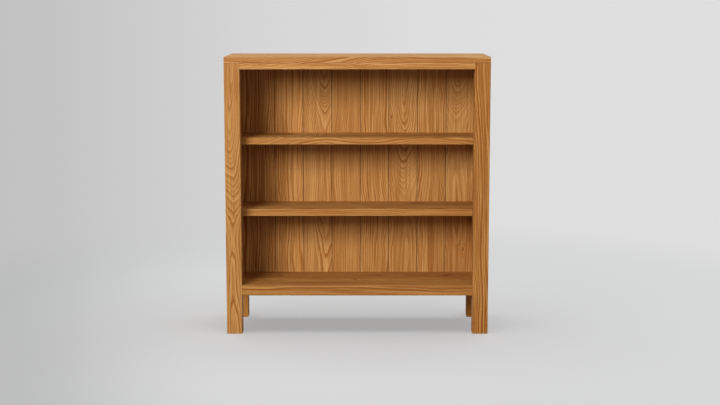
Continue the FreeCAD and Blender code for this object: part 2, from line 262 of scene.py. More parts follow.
def make_grain_group():
    """Reads a place with X across the board, Y out of its face and Z along the grain."""
    inputs = {label: (NUMBER, 0.0) for label in RING_PARTS}
    inputs.update({"Place": (VECTOR, None), "Knot Place": (VECTOR, None)})
    outputs = {label: NUMBER for label in GRAIN_PARTS}
    tree, given, result = new_group("oak grain", "ShaderNodeTree", inputs, outputs)
    place, seed = given["Place"], given["Seed"]
    x, y, z = parts_of(tree, place)

    def noise(scales, turn, detail=1.0):
        """Noise stretched along the board."""
        return cloud(tree, stretched(tree, place, scales, seed, turn), detail)

    # The pith leans over one stretch of the board and sways a little all along it
    from_lean = calc(tree, "DIVIDE", minus(tree, z, given["Lean Place"]), given["Lean Reach"])
    slope = times(tree, calc(tree, "TANH", from_lean), given["Lean Reach"])
    leant = times(tree, slope, given["Lean"])
    way = sway(tree, times_plus(tree, z, 3.1, times(tree, seed, 17.3)))
    swung = put(tree, "SeparateColor", {"Color": way["Color"]}).outputs
    reach = times(tree, given["Wander"], 4.0)
    swing_x = times(tree, minus(tree, swung["Red"], 0.5), reach)
    swing_y = times(tree, minus(tree, swung["Green"], 0.5), reach)
    across = plus(tree, minus(tree, x, given["Pith Across"]), swing_x)
    depth = minus(tree, minus(tree, y, given["Pith Depth"]), leant)
    depth = plus(tree, depth, swing_y)
    radius = calc_vector(tree, "LENGTH", vector_of(tree, across, depth, 0.0))
    off_centre = calc_vector(tree, "LENGTH", vector_of(tree, across, ARCH_TIP, 0.0))
    radius = times_plus(tree, off_centre, given["Peak"], radius)

    # Rings are never quite round, and good years are wider than poor ones
    broad, middling, small = noise(*BROAD_NOISE, 0.0), noise(*MIDDLING_NOISE), noise(*SMALL_NOISE)
    rings = calc(tree, "DIVIDE", radius, given["Ring Width"])
    rings = times_plus(tree, minus(tree, broad, 0.5), BROAD_PUSH, rings)
    rings = times_plus(tree, minus(tree, small, 0.5), SMALL_PUSH, rings)
    rings = times_plus(tree, minus(tree, middling, 0.5), given["Waves"], rings)

    # The rings part round a small knot
    from_knot = calc_vector(tree, "SUBTRACT", place, given["Knot Place"])
    from_knot = calc_vector(tree, "MULTIPLY", from_knot, KNOT_SHAPE)
    from_knot = calc(tree, "DIVIDE", calc_vector(tree, "LENGTH", from_knot), KNOT_SIZE)
    join(tree, ease(tree, from_knot, 0.5, 1.0, 1.0, 0.0), result["Knot"])
    rings = plus(tree, ease(tree, from_knot, 0.5, KNOT_REACH, KNOT_PUSH, 0.0), rings)

    through = times_plus(tree, rings, 0.23, times(tree, seed, 3.9))
    rings = times_plus(tree, sway(tree, through, 0.0)["Fac"], YEAR_PUSH, rings)
    year = calc(tree, "FLOOR", rings)
    season = minus(tree, rings, year)
    given_year = {"W": plus(tree, year, seed)}
    chance = put(tree, "TexWhiteNoise", given_year, noise_dimensions="1D").outputs["Value"]

    # Early wood starts sharply and fades through the season
    ends = times_plus(tree, chance, 0.35, 0.42)
    start = ease(tree, season, *EARLY_COMES)
    fade = ease(tree, season, EARLY_GOES, ends, 1.0, 0.0)
    strength = ease(tree, chance, 0.05, 0.95, 1.0, 0.28)
    early = times(tree, times(tree, start, fade), strength)
    join(tree, early, result["Early Wood"])
    late = times(tree, ease(tree, season, *LATE_COMES), ease(tree, season, *LATE_GOES, 1.0, 0.0))
    join(tree, times(tree, late, strength), result["Late Wood"])

    # Pores run along the grain, most of them in the early wood
    pores = ease(tree, noise(*PORE_NOISE), *PORE_STEP)
    join(tree, times(tree, pores, times_plus(tree, early, 0.75, 0.25)), result["Pores"])

    # Rays stand out from the pith as thin sheets
    angle = calc(tree, "ARCTAN2", depth, across)
    sheet = vector_of(
        tree,
        times(tree, angle, 95.0),
        times(tree, radius, 40.0),
        times_plus(tree, z, 62.0, times(tree, seed, 4.4)),
    )
    join(tree, ease(tree, cloud(tree, sheet, 1.0), *RAY_STEP), result["Rays"])

    # Colour drifts slowly along the board and in long streaks
    join(tree, noise(*TONE_NOISE), result["Tone"])
    streaks = plus(tree, noise(*WIDE_STREAKS), noise(*THIN_STREAKS))
    join(tree, times(tree, streaks, 0.5), result["Streaks"])
    return tree


def make_stave_group():
    """Boards glued edge to edge: the place within a stave, how that stave differs, the glue line."""
    inputs = {"Across": (NUMBER, 0.0), "Stave Width": (NUMBER, STAVE_WIDTH), "Seed": (NUMBER, 0.0)}
    labels = ("Within", "Chance", "Second Chance", "Slide", "Lean Shift", "Glue Line")
    outputs = {label: NUMBER for label in labels}
    tree, given, result = new_group("glued staves", "ShaderNodeTree", inputs, outputs)
    count = calc(tree, "DIVIDE", given["Across"], given["Stave Width"])
    stave = calc(tree, "FLOOR", count)
    share = minus(tree, minus(tree, count, stave), 0.5)
    join(tree, times(tree, share, given["Stave Width"]), result["Within"])
    number = times_plus(tree, given["Seed"], 13.7, stave)
    chance = put(tree, "TexWhiteNoise", {"W": number}, noise_dimensions="1D").outputs
    join(tree, chance["Value"], result["Chance"])
    second = put(tree, "SeparateColor", {"Color": chance["Color"]}).outputs["Green"]
    join(tree, second, result["Second Chance"])
    slide = times(tree, chance["Value"], 3.0)
    join(tree, slide, result["Slide"])
    join(tree, times_plus(tree, stave, 0.19, slide), result["Lean Shift"])
    from_edge = minus(tree, 0.5, calc(tree, "ABSOLUTE", share))
    from_edge = times(tree, from_edge, given["Stave Width"])
    join(tree, ease(tree, from_edge, 0.0001, 0.0006, 1.0, 0.0), result["Glue Line"])
    return tree


def make_arris_group():
    """How near a place is to the arrises of a squared piece, broken up a little as wear is; it lightens
    them, partly as wear and partly as a painted highlight.
    """
    inputs = {"Place": (VECTOR, None), "Half Size": (VECTOR, (0.1, 0.1, 0.1)), "Width": (NUMBER, 0.003)}
    tree, given, result = new_group("arris wear and highlight", "ShaderNodeTree", inputs, {"Wear And Highlight": NUMBER})
    reach = calc_vector(tree, "ABSOLUTE", given["Place"])
    inside = calc_vector(tree, "SUBTRACT", given["Half Size"], reach)
    a, b, c = parts_of(tree, calc_vector(tree, "MAXIMUM", inside, (0.0, 0.0, 0.0)))
    pairs = [calc_vector(tree, "LENGTH", vector_of(tree, p, q, 0.0)) for p, q in ((a, b), (b, c), (a, c))]
    nearest = calc(tree, "MINIMUM", calc(tree, "MINIMUM", pairs[0], pairs[1]), pairs[2])
    patchy = specks(tree, given["Place"], (70, 70, 70), 3.0)
    width = times(tree, given["Width"], times_plus(tree, patchy, 1.6, 0.2))
    join(tree, ease(tree, nearest, 0.0, width, 1.0, 0.0), result["Wear And Highlight"])
    return tree


def make_finish_group():
    """The colour, roughness and height of oak under a satin finish."""
    inputs = {label: (NUMBER, 0.0) for label in GRAIN_PARTS + ("End Grain", "Wear And Highlight", "Shade And Dirt")}
    inputs["Stain"] = (VECTOR, (1.0, 1.0, 1.0))
    inputs["Figure"] = (NUMBER, 1.0)
    outputs = {"Colour": COLOUR, "Roughness": NUMBER, "Height": NUMBER}
    tree, given, result = new_group("oak finish", "ShaderNodeTree", inputs, outputs)
    early = times(tree, given["Early Wood"], given["Figure"])
    colour = mixed(tree, times(tree, early, EARLY_SHARE), PALE_OAK, RING_OAK)
    drift = ease(tree, given["Tone"], 0.30, 0.70, 0.0, DRIFT_SHARE)
    colour = mixed(tree, drift, colour, RING_OAK)
    streak = ease(tree, given["Streaks"], 0.36, 0.64, -STREAK_SHARE, STREAK_SHARE)
    streak = times(tree, streak, given["Figure"])
    colour = mixed(tree, plus(tree, streak, STREAK_SHARE), colour, RING_OAK)
    late = times(tree, times(tree, given["Late Wood"], given["Figure"]), LATE_SHARE)
    colour = mixed(tree, late, colour, CREAM_OAK)
    for label, layer, most in OVERLAYS:
        colour = mixed(tree, times(tree, given[label], most), colour, layer)
    colour = mixed(tree, 1.0, colour, given["Stain"], "MULTIPLY")
    join(tree, colour, result["Colour"])
    rough = times_plus(tree, given["Pores"], 0.20, SATIN)
    rough = times_plus(tree, given["Streaks"], 0.08, rough)
    rough = times_plus(tree, given["Wear And Highlight"], -0.08, rough)
    join(tree, rough, result["Roughness"])
    low = times_plus(tree, given["Pores"], -0.8, 1.0)
    low = times_plus(tree, given["Early Wood"], -0.2, low)
    join(tree, low, result["Height"])
    return tree


GRAIN = make_grain_group()
STAVES = make_stave_group()
ARRIS = make_arris_group()
FINISH = make_finish_group()


def use(tree, group, given):
    """Places a node group in a tree and gives its outputs."""
    return put(tree, "Group", given, node_tree=group).outputs


def new_material(name):
    """A material, its tree and its shader."""
    made = bpy.data.materials.new(name)
    made.use_nodes = True
    return made, made.node_tree, made.node_tree.nodes["Principled BSDF"]


def coat_with(tree, shader, colour, roughness, height, strength, distance):
    """Gives a shader its colour and roughness, and a fine relief."""
    join(tree, colour, shader.inputs["Base Color"])
    join(tree, roughness, shader.inputs["Roughness"])
    bump = put(tree, "Bump", {"Strength": strength, "Distance": distance, "Height": height})
    join(tree, bump.outputs[0], shader.inputs["Normal"])


def oak(name, low, high, along, outward, laid, glued=False, groove=0.0):
    """Oak for one piece: the grain runs along it, and its rings lie as its figure says."""
    made, tree, shader = new_material(name)
    # The board's length is laid on Z and its show face towards Y
    turn = Matrix((outward.cross(along), outward, along))
    middle = (low + high) / 2
    half = Vector([abs(v) for v in turn @ ((high - low) / 2)])
    source = put(tree, "TexCoord").outputs
    given = {"Vector": source["Object"], "Location": -(turn @ middle), "Rotation": turn.to_euler()}
    place = put(tree, "Mapping", given).outputs[0]
    grain = {"Place": place, **laid["rings"]}
    warmth = laid["warmth"]
    stain_and_shade = laid["tone"] * Vector((1.0, 1.0 - WARM_GREEN * warmth, 1.0 - WARM_BLUE * warmth))
    x, y, z = parts_of(tree, place)
    if glued:
        start = plus(tree, x, half.x)
        stave = use(tree, STAVES, {"Across": start, "Seed": grain["Seed"]})
        grain["Place"] = vector_of(tree, stave["Within"], y, plus(tree, z, stave["Slide"]))
        grain["Lean Place"] = plus(tree, stave["Lean Shift"], grain["Lean Place"])
        grain["Seed"] = times_plus(tree, stave["Second Chance"], 5.0, grain["Seed"])
        grain["Pith Across"] = ease(tree, stave["Chance"], 0.0, 1.0, *STAVE_PITHS)
        share = ease(tree, stave["Second Chance"], 0.0, 1.0, *STAVE_SHADES)
        stain_and_shade = calc_vector(tree, "MULTIPLY", vector_of(tree, share, share, share), stain_and_shade)
    if laid["end"]:
        # The colour changes towards one end: where from, where to, and the change there. On three back
        # boards, the upper shelf and the rear right post it is painted light and shade
        start, stop, other = laid["end"]
        change = mixed(tree, ease(tree, z, start, stop), UNCHANGED_COLOUR, other)
        stain_and_shade = calc_vector(tree, "MULTIPLY", change, stain_and_shade)
    rings = use(tree, GRAIN, grain)
    facing = calc(tree, "ABSOLUTE", calc_vector(tree, "DOT_PRODUCT", source["Normal"], along))
    # The arrises are lighter: partly wear, partly a painted highlight
    wear_and_highlight = use(tree, ARRIS, {"Place": place, "Half Size": half, "Width": ARRIS_WEAR_AND_HIGHLIGHT})
    coat = {label: rings[label] for label in GRAIN_PARTS}
    coat["End Grain"] = ease(tree, facing, 0.75, 0.95)
    coat["Wear And Highlight"] = wear_and_highlight["Wear And Highlight"]
    coat["Stain"] = stain_and_shade
    if laid["joint"]:
        # At a joint the arris is darker instead of lighter: dirt in the seam, and painted shade where the
        # seam's shadow falls
        towards = Vector(laid["joint"])
        depth = half.dot([abs(v) for v in towards])
        near = minus(tree, depth, calc_vector(tree, "DOT_PRODUCT", place, towards))
        coat["Wear And Highlight"] = times(tree, wear_and_highlight["Wear And Highlight"], ease(tree, near, 0.002, 0.006))
        coat["Shade And Dirt"] = ease(tree, near, 0.0002, 0.0012, 0.55, 0.0)
    shown = calc(tree, "ABSOLUTE", calc_vector(tree, "DOT_PRODUCT", source["Normal"], outward))
    coat["Figure"] = ease(tree, shown, 0.4, 0.9, laid["edges"] or laid["strength"], laid["strength"])
    if groove:
        # Painted shade in the V between boards: it lies deeper into the right-hand edge, which faces away
        # from the key lamp, than into the left, and the arrises are lightened more, a painted highlight
        near = minus(tree, half.x, calc(tree, "ABSOLUTE", x))
        below = minus(tree, half.y, y)
        reach = times_plus(tree, calc(tree, "GREATER_THAN", x, 0.0), groove * -0.55, groove * 0.9)
        shut = ease(tree, near, times(tree, reach, 0.55), reach, 1.0, 0.0)
        coat["Wear And Highlight"] = times(tree, wear_and_highlight["Wear And Highlight"], 1.7)
        coat["Shade And Dirt"] = times(tree, ease(tree, below, groove * 0.1, groove * 0.5), shut)
    coat = use(tree, FINISH, coat)
    colour = coat["Colour"]
    if glued:
        colour = mixed(tree, times(tree, stave["Glue Line"], GLUE_SHARE), colour, RING_OAK)
    coat_with(tree, shader, colour, coat["Roughness"], coat["Height"], 0.35, 0.0004)
    shader.inputs["Specular IOR Level"].default_value = laid["sheen"]
    return made


def figure(
    seed, across=0.0, depth=-0.07, lean=0.0, at=0.0, reach=0.15,
    peak=0.0, wander=0.006, waves=1.2, ring=RING_WIDTH, knot=NO_KNOT, **look
):
    """Where the pith lies for one board, and how its rings and its colour show."""
    rings = {
        "Pith Across": across, "Pith Depth": depth, "Lean": lean, "Lean Place": at, "Lean Reach": reach,
        "Peak": peak, "Wander": wander, "Waves": waves, "Ring Width": ring, "Knot Place": knot,
        "Seed": seed,
    }
    plain = {
        "tone": 1.0, "warmth": 0.3, "strength": 1.0, "edges": None, "sheen": 0.13,
        "joint": None, "end": None,
    }
    return {"rings": rings, **plain, **look}


def added(name, data):
    """A new object in the scene."""
    made = bpy.data.objects.new(name, data)
    bpy.context.scene.collection.objects.link(made)
    return made


def final_mesh(thing):
    """The mesh of an object with its modifiers at work."""
    bpy.context.view_layer.update()
    return bpy.data.meshes.new_from_object(thing.evaluated_get(bpy.context.evaluated_depsgraph_get()))


# Pieces taken over from the solid model with their arrises rounded
def closed_copy(name):
    """A copy of a CAD piece as a closed mesh of flat faces."""
    shape = bmesh.new()
    shape.from_mesh(nodes[name].data)
    bmesh.ops.remove_doubles(shape, verts=shape.verts, dist=WELD_DISTANCE)
    bmesh.ops.dissolve_limit(shape, angle_limit=FLAT_ANGLE, verts=shape.verts, edges=shape.edges)
    return shape


def finished(shape, name, material, slot, body, *replaced):
    """Makes a mesh into a piece that rides on a body in place of CAD pieces."""
    mesh = bpy.data.meshes.new(name)
    shape.to_mesh(mesh)
    shape.free()
    if "custom_normal" in mesh.attributes:
        mesh.attributes.remove(mesh.attributes["custom_normal"])
    mesh.materials.clear()
    mesh.materials.append(material)
    mesh.polygons.foreach_set("use_smooth", [True] * len(mesh.polygons))
    mesh.polygons.foreach_set("material_index", [0] * len(mesh.polygons))
    mesh.set_sharp_from_angle(angle=SMOOTH_ANGLE)
    piece = added(name, mesh)
    even = piece.modifiers.new("flat faces", "WEIGHTED_NORMAL")
    even.keep_sharp = True
    shown = final_mesh(piece)
    piece.modifiers.clear()
    piece.data = shown
    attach(piece, body)
    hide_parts(*replaced)
    return piece


def eased(name, slot, material, body="case"):
    """A CAD piece with the edges of its bevels rounded."""
    shape = closed_copy(name)
    lines = [
        edge for edge in shape.edges
        if len(edge.link_faces) == 2 and BEVEL_ANGLES[0] < edge.calc_face_angle() < BEVEL_ANGLES[1]
    ]
    bmesh.ops.bevel(
        shape, geom=lines, offset=ARRIS_ROUNDING, offset_type="OFFSET", segments=ARRIS_STEPS,
        profile=0.5, affect="EDGES", clamp_overlap=True,
    )
    return finished(shape, "oak_" + name, material, slot, body, name)


POSTS = {
    "front_left_post": (-Y_AXIS, figure(
        1.9, 0.002, -0.014, 0.19, 0.09, 0.15,
        peak=0.06, wander=0.005, waves=1.8, ring=0.0038, tone=0.91, warmth=0.4, joint=(0, 0, 1),
        end=(0.29, 0.37, (0.89, 0.83, 0.79, 1.0)),
    )),
    "front_right_post": (-Y_AXIS, figure(
        8.11, -0.06, -0.03, 0.04, 0.1, 0.3,
        ring=0.0054, waves=1.6, tone=0.81, warmth=2.0, strength=1.55, joint=(0, 0, 1),
    )),
    # The rear posts are warmer, and the right one darker and redder at its foot: painted shade, warm as
    # the light that reaches under the case
    "rear_left_post": (Y_AXIS, figure(4.1, 0.01, -0.06, 0.08, 0.0, 0.2, warmth=1.6, sheen=0.04)),
    "rear_right_post": (Y_AXIS, figure(
        5.6, -0.04, -0.04, -0.05, 0.1, 0.2,
        tone=0.94, warmth=2.6, sheen=0.04, end=(-0.30, -0.37, (0.94, 0.83, 0.72, 1.0)),
    )),
}
for post_name, (outward, laid) in POSTS.items():
    eased(post_name, "oak_posts", oak("oak " + post_name, *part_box(post_name), Z_AXIS, outward, laid))

RAILS = {
    "front_top_rail": (X_AXIS, -Y_AXIS, figure(
        10.89, 0.09, -0.06, 0.03, 0.1, 0.3,
        ring=0.0042, tone=1.01, strength=1.8, joint=(1, 0, 0),
    )),
    "front_bottom_rail": (X_AXIS, -Y_AXIS, figure(
        14.84, 0.08, -0.06, 0.03, 0.0, 0.3,
        ring=0.0045, tone=0.785, warmth=1.5, strength=1.6,
    )),
    "rear_top_rail": (X_AXIS, Y_AXIS, figure(9.8, 0.01, -0.07, 0.04, 0.1, 0.3)),
    "rear_bottom_rail": (X_AXIS, Y_AXIS, figure(10.5, 0.0, -0.08, -0.05, -0.1, 0.3)),
    "left_top_rail": (Y_AXIS, -X_AXIS, figure(11.7, 0.0, -0.07, 0.08, 0.0, 0.2)),
    "left_bottom_rail": (Y_AXIS, -X_AXIS, figure(12.2, 0.01, -0.08, -0.06, 0.0, 0.2)),
    "right_top_rail": (Y_AXIS, X_AXIS, figure(13.9, 0.0, -0.06, 0.07, 0.0, 0.2)),
    "right_bottom_rail": (Y_AXIS, X_AXIS, figure(14.4, 0.01, -0.09, 0.05, 0.0, 0.2)),
}
for rail_name, (along, outward, laid) in RAILS.items():
    eased(rail_name, "oak_rails", oak("oak " + rail_name, *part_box(rail_name), along, outward, laid))

WIDE = {
    "top_board": ("oak_top", "case", X_AXIS, Z_AXIS, figure(
        16.74, 0.0, -0.05, 0.10, -0.04, 0.14,
        ring=0.0065, tone=1.035, edges=2.2, sheen=0.20, joint=(0, -1, 0),
    )),
    "bottom_board": ("oak_bottom", "case", X_AXIS, Z_AXIS, figure(
        16.3, 0.0, -0.08, 0.03, 0.0, 0.3,
        tone=0.81, warmth=1.2, strength=1.1,
    )),
    # Lighter and cooler towards its left end: painted light
    "upper_shelf": ("oak_shelves", "upper_shelf", X_AXIS, Z_AXIS, figure(
        18.02, 0.0, -0.06, 0.30, -0.28, 0.10,
        ring=0.0060, waves=2.0, tone=1.02, warmth=0.4, strength=1.6, edges=1.4, sheen=0.10,
        end=(0.10, -0.22, (1.05, 1.10, 1.18, 1.0)),
    )),
    "lower_shelf": ("oak_shelves", "lower_shelf", X_AXIS, Z_AXIS, figure(
        22.45, 0.0, -0.06, 0.04, 0.1, 0.3,
        tone=0.89, warmth=0.5, strength=1.7, edges=2.0, sheen=0.10,
    )),
    "left_side_panel": ("oak_panels", "case", Z_AXIS, -X_AXIS, figure(19.4, 0.0, -0.07, 0.08, 0.0, 0.2)),
    "right_side_panel": ("oak_panels", "case", Z_AXIS, X_AXIS, figure(20.6, 0.0, -0.07, -0.08, 0.0, 0.2)),
}
for wide_name, (slot, body, along, outward, laid) in WIDE.items():
    stock = oak("oak " + wide_name, *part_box(wide_name), along, outward, laid, glued=True)
    eased(wide_name, slot, stock, body)

BACK = [
    # Lighter towards its head: painted light that lifts the shade in the corner under the top
    figure(
        21.1, 0.090, -0.04, 0.01, 0.0, 0.3,
        ring=0.006, tone=0.93, warmth=0.9, strength=1.7, end=(0.24, 0.35, (1.26, 1.22, 1.22, 1.0)),
    ),
    figure(24.75, -0.070, -0.04, 0.03, 0.0, 0.3, ring=0.007, tone=1.005, warmth=0.8, strength=1.4),
    figure(23.3, -0.024, -0.055, 0.20, 0.24, 0.14, peak=0.22, tone=0.98, warmth=0.25),
    figure(24.9, 0.080, -0.05, 0.02, 0.0, 0.3, tone=0.935, warmth=0.8, strength=0.7),
    figure(28.27, -0.075, -0.05, 0.02, 0.0, 0.3, ring=0.0065, tone=0.975, warmth=0.4, strength=1.35),
    # Lighter and cooler towards its head: painted light
    figure(
        28.03, -0.009, -0.045, 0.21, 0.06, 0.16,
        peak=0.12, tone=1.01, warmth=0.1, knot=(0.0386, 0.0, 0.170),
        end=(0.15, 0.26, (1.06, 1.10, 1.18, 1.0)),
    ),
    figure(32.12, 0.070, -0.04, 0.02, 0.0, 0.3, ring=0.007, tone=1.025, warmth=0.2, strength=1.5),
    # Darker and redder towards its foot: painted shade
    figure(
        33.42, 0.012, -0.050, 0.20, 0.27, 0.12,
        peak=0.18, ring=0.0042, tone=1.01, warmth=-0.2, strength=0.9, knot=(-0.0130, 0.0, -0.282),
        end=(-0.05, -0.20, (0.90, 0.82, 0.75, 1.0)),
    ),
]

# Shapes that repeat are grown by geometry nodes
MATERIAL = "NodeSocketMaterial"
WHOLE = "NodeSocketInt"


def shaped(tree, kind, given=(), **settings):
    """Adds a geometry node and gives what it makes."""
    return put(tree, kind, given, "GeometryNode", **settings).outputs[0]


def joined(tree, *shapes):
    """Shapes put together as one."""
    made = put(tree, "JoinGeometry", family="GeometryNode")
    for shape in shapes:
        tree.links.new(shape, made.inputs[0])
    return made.outputs[0]


def switch_by_index(tree, values, kind="VECTOR"):
    """A field that takes its value by the number of the point."""
    made = put(tree, "IndexSwitch", family="GeometryNode", data_type=kind)
    while len(made.index_switch_items) < len(values):
        made.index_switch_items.new()
    join(tree, shaped(tree, "InputIndex"), made.inputs["Index"])
    for number, value in enumerate(values):
        join(tree, value, made.inputs[number + 1])
    return made.outputs[0]


def moved(tree, shape, place=(0.0, 0.0, 0.0), turn=(0.0, 0.0, 0.0)):
    """A shape turned, and then put in its place."""
    return shaped(tree, "Transform", {"Geometry": shape, "Translation": place, "Rotation": turn})


def path_through(tree, places, closed):
    """A curve of straight runs through places."""
    given = {"Count": len(places), "Position": switch_by_index(tree, places)}
    curve = shaped(tree, "PointsToCurves", {"Points": shaped(tree, "Points", given)})
    return shaped(tree, "SetSplineCyclic", {"Geometry": curve, "Cyclic": closed})


def prism(tree, outline, rounding, steps, height, place, turn=(0.0, 0.0, 0.0)):
    """A closed solid with rounded corners: an outline raised by a height, then turned and placed."""
    curve = path_through(tree, [vector_of(tree, x, y, 0.0) for x, y in outline], True)
    given = {"Curve": curve, "Radius": rounding, "Count": steps, "Limit Radius": True}
    curve = shaped(tree, "FilletCurve", given, mode="POLY")
    face = shaped(tree, "FillCurve", {"Curve": curve}, mode="NGONS")
    given = {"Mesh": face, "Offset": vector_of(tree, 0.0, 0.0, height), "Individual": False}
    raised = shaped(tree, "ExtrudeMesh", given, mode="FACES")
    foot = shaped(tree, "FlipFaces", {"Mesh": face})
    given = {"Geometry": joined(tree, raised, foot), "Distance": WELD_DISTANCE}
    solid = shaped(tree, "MergeByDistance", given)
    return moved(tree, solid, place, turn)


def circle(tree, sides, radius=1.0):
    """A round outline."""
    return shaped(tree, "CurvePrimitiveCircle", {"Resolution": sides, "Radius": radius})


def column(tree, steps, outline):
    """An outline run up along Z: a list of heights with its scale at each."""
    path = path_through(tree, [vector_of(tree, 0.0, 0.0, height) for height, scale in steps], False)
    scales = switch_by_index(tree, [scale for height, scale in steps], "FLOAT")
    given = {"Curve": path, "Profile Curve": outline, "Scale": scales, "Fill Caps": True}
    return shaped(tree, "CurveToMesh", given)


def rows(tree, given):
    """Points in rows: a line of places, repeated along a second line."""
    line = {"Count": given["Count"], "Start Location": given["First"], "Offset": given["Step"]}
    first = shaped(tree, "MeshLine", line, mode="OFFSET")
    line = {"Count": given["Rows"], "Offset": given["Row Step"]}
    second = shaped(tree, "MeshLine", line, mode="OFFSET")
    spread = shaped(tree, "InstanceOnPoints", {"Points": second, "Instance": first})
    return shaped(tree, "RealizeInstances", {"Geometry": spread})


def give(tree, given, shape, result):
    """Ends a tree: real geometry with its finish. Gives the tree."""
    whole = shaped(tree, "RealizeInstances", {"Geometry": shape})
    whole = shaped(tree, "SetMaterial", {"Geometry": whole, "Material": given["Finish"]})
    join(tree, whole, result["Geometry"])
    return tree


def set_out(tree, given, shape, result):
    """Places a right-hand shape on its rows, turned half round on the left, and gives it its finish."""
    side = parts_of(tree, shaped(tree, "InputPosition"))["X"]
    half_turn = times(tree, calc(tree, "LESS_THAN", side, 0.0), math.pi)
    turn = vector_of(tree, 0.0, 0.0, half_turn)
    placed = {"Points": rows(tree, given), "Instance": shape, "Rotation": turn}
    return give(tree, given, shaped(tree, "InstanceOnPoints", placed), result)


def cut_away(tree, shape, tool):
    """A shape with another one taken out of it."""
    kind = {"operation": "DIFFERENCE", "solver": "EXACT"}
    made = put(tree, "MeshBoolean", {"Mesh 1": shape}, "GeometryNode", **kind)
    tree.links.new(tool, made.inputs["Mesh 2"])
    return made.outputs[0]


# Sizes of the back boards' joints and of the fixings
PLAY = 0.00015
BEVEL = 0.0016
BOARD_SIZES = {
    "Bevel": BEVEL, "Tongue Length": 0.005, "Tongue Thickness": 0.003, "Play": PLAY,
    "Groove Room": 0.001, "Rounding": 0.0002,
}
PIN_SIZES = {
    "Plate Length": 0.012, "Plate Width": 0.009, "Plate Thickness": 0.0022, "Corner": 0.00225,
    "Rounding": 0.0009, "Shank Radius": 0.0025, "Shank Length": 0.010,
}
SCREW_SIZES = {
    "Head Radius": 0.004, "Head Height": 0.0024, "Shank Radius": 0.002,
    "Thread Pitch": 0.0018, "Thread Depth": 0.0005, "Cross": 0.0042,
}
BUTTON_SIZES = {
    "Length": 0.022, "Width": 0.030, "Tongue Length": 0.006, "Tongue Thickness": 0.006,
    "Rounding": 0.0006, "Sink Height": SCREW_SIZES["Head Height"],
    "Sink Radius": SCREW_SIZES["Head Radius"] + PLAY,
    "Hole Radius": SCREW_SIZES["Shank Radius"] + PLAY,
}
DOWEL_SIZES = {"Radius": 0.004, "Flute": 0.0003}

# Shares of those sizes, and how finely the round pieces are drawn
PIN_TIP_SHARE = 0.24
PIN_TAPER_SHARE = 0.16
SCREW_POINT_SHARE = 2.4
SCREW_TIP_SHARE = 0.06
RIM_HEIGHT_SHARE = 0.08
RIM_INSET_SHARE = 0.96
CROSS_ARM_SHARE = 0.22
THREAD_SHARE = 0.9
DOWEL_END_SHARE = 0.82
DOWEL_EASE_SHARE = 0.3
PIN_SIDES = 28
ROUND_SIDES = 32
THREAD_SIDES = 3
THREAD_STEPS = 18
FLUTES = 24

ROW_INPUTS = {
    "First": (VECTOR, None), "Count": (WHOLE, 1), "Step": (VECTOR, None),
    "Rows": (WHOLE, 1), "Row Step": (VECTOR, None), "Finish": (MATERIAL, None),
}


def shape_group(name, *sizes, more=ROW_INPUTS):
    """A geometry tree that takes sizes and a finish, and gives a mesh."""
    inputs = {label: (NUMBER, 0.0) for label in sizes}
    return new_group(name, "GeometryNodeTree", {**inputs, **more}, {"Geometry": "NodeSocketGeometry"})


def make_board_tree(name, tongued, grooved):
    """One back board: its section drawn from its sizes and run up from foot to head."""
    sides = ("Left", "Right", "Front", "Rear")
    finish = {"Finish": (MATERIAL, None)}
    tree, given, result = shape_group(name, *sides, "Foot", "Head", *BOARD_SIZES, more=finish)
    left, right, front, rear = (given[label] for label in sides)
    bevel, thickness, play = given["Bevel"], given["Tongue Thickness"], given["Play"]
    middle = times(tree, plus(tree, plus(tree, front, bevel), rear), 0.5)
    low_y = times_plus(tree, thickness, -0.5, middle)
    high_y = times_plus(tree, thickness, 0.5, middle)
    bevel_y = plus(tree, front, bevel)
    outline = [(left, rear)]
    if tongued:
        tip = minus(tree, left, given["Tongue Length"])
        outline += [(left, high_y), (tip, high_y), (tip, low_y), (left, low_y), (left, bevel_y)]
        outline.append((plus(tree, left, bevel), front))
    else:
        outline.append((left, front))
    if grooved:
        floor = minus(tree, minus(tree, right, given["Tongue Length"]), given["Groove Room"])
        near_y = minus(tree, low_y, play)
        far_y = plus(tree, high_y, play)
        outline += [(minus(tree, right, bevel), front), (right, bevel_y), (right, near_y)]
        outline += [(floor, near_y), (floor, far_y), (right, far_y)]
    else:
        outline.append((right, front))
    outline.append((right, rear))
    rise = minus(tree, given["Head"], given["Foot"])
    foot = vector_of(tree, 0.0, 0.0, given["Foot"])
    return give(tree, given, prism(tree, outline, given["Rounding"], 2, rise, foot), result)


def make_pin_tree():
    """Shelf pins: a shank in the wall and a flat plate with a narrowed nose under the shelf."""
    tree, given, result = shape_group("shelf pins", *PIN_SIZES)
    length, width, corner = given["Plate Length"], given["Plate Width"], given["Corner"]
    half = times(tree, width, 0.5)
    narrow = minus(tree, half, corner)
    nose = times(tree, length, -1)
    shoulder = plus(tree, nose, corner)
    under = times(tree, given["Plate Thickness"], -0.5)
    half_back, narrow_back = times(tree, half, -1), times(tree, narrow, -1)
    outline = [(0.0, half), (shoulder, half), (nose, narrow)]
    outline += [(nose, narrow_back), (shoulder, half_back), (0.0, half_back)]
    place = vector_of(tree, 0.0, 0.0, under)
    plate = prism(tree, outline, given["Rounding"], 4, given["Plate Thickness"], place)
    radius, end = given["Shank Radius"], given["Shank Length"]
    slim = minus(tree, radius, times(tree, radius, PIN_TAPER_SHARE))
    near_end = times_plus(tree, radius, -PIN_TIP_SHARE, end)
    shank = column(tree, [(0.0, radius), (near_end, radius), (end, slim)], circle(tree, PIN_SIDES))
    shank = moved(tree, shank, turn=(0.0, math.pi / 2, 0.0))
    return set_out(tree, given, joined(tree, plate, shank), result)


